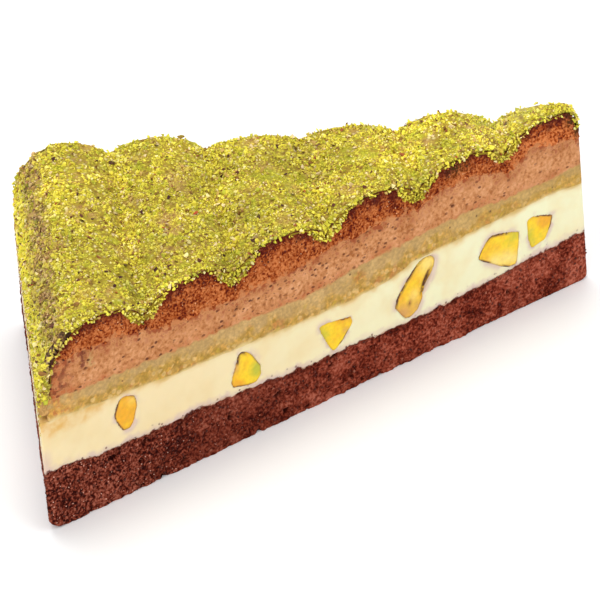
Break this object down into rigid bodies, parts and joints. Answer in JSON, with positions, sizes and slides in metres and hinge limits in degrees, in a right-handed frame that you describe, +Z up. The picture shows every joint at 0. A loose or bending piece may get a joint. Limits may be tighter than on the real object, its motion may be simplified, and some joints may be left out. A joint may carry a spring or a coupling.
{
  "type": "pistachio layer cake wedge",
  "caption": "Triangular wedge of layered cake: chocolate sponge, cream with cut kernels, pistachio paste, mousse and a ridged nut-crumb top.",
  "frame": {"origin": "middle of the bounding box on the underside, where the cake rests", "axes": "+X along the length from the outer end to the tip, +Y from the long cut side towards the short one, +Z up through the layers"},
  "size_m": [0.1206, 0.076, 0.0463],
  "materials": {
    "sponge": "dark red-brown open chocolate crumb, matte",
    "cream": "smooth ivory cream with a soft satin shine",
    "paste": "olive-tan pistachio paste, smooth above and grainy below",
    "mousse": "light brown mousse with small dark pores, matte",
    "cocoa": "reddish brown moist cocoa grain, matte",
    "nut_crumb": "ground pistachio in yellow-green, cream and brown grains, matte",
    "kernel": "golden to green-yellow cut kernel with a darker skin"
  },
  "bodies": {
    "root": {"chocolate_sponge": "sponge", "vanilla_cream": "cream", "pistachio_paste": "paste", "chocolate_mousse": "mousse", "cocoa_layer": "cocoa", "pistachio_coat": "nut_crumb", "kernel_long_side_1": "kernel", "kernel_long_side_2": "kernel", "kernel_long_side_3": "kernel", "kernel_long_side_4": "kernel", "kernel_long_side_5": "kernel", "kernel_long_side_6": "kernel", "kernel_short_side_1": "kernel", "kernel_short_side_2": "kernel", "kernel_short_side_3": "kernel", "kernel_short_side_4": "kernel", "kernel_short_side_5": "kernel"}
  },
  "joints": []
}
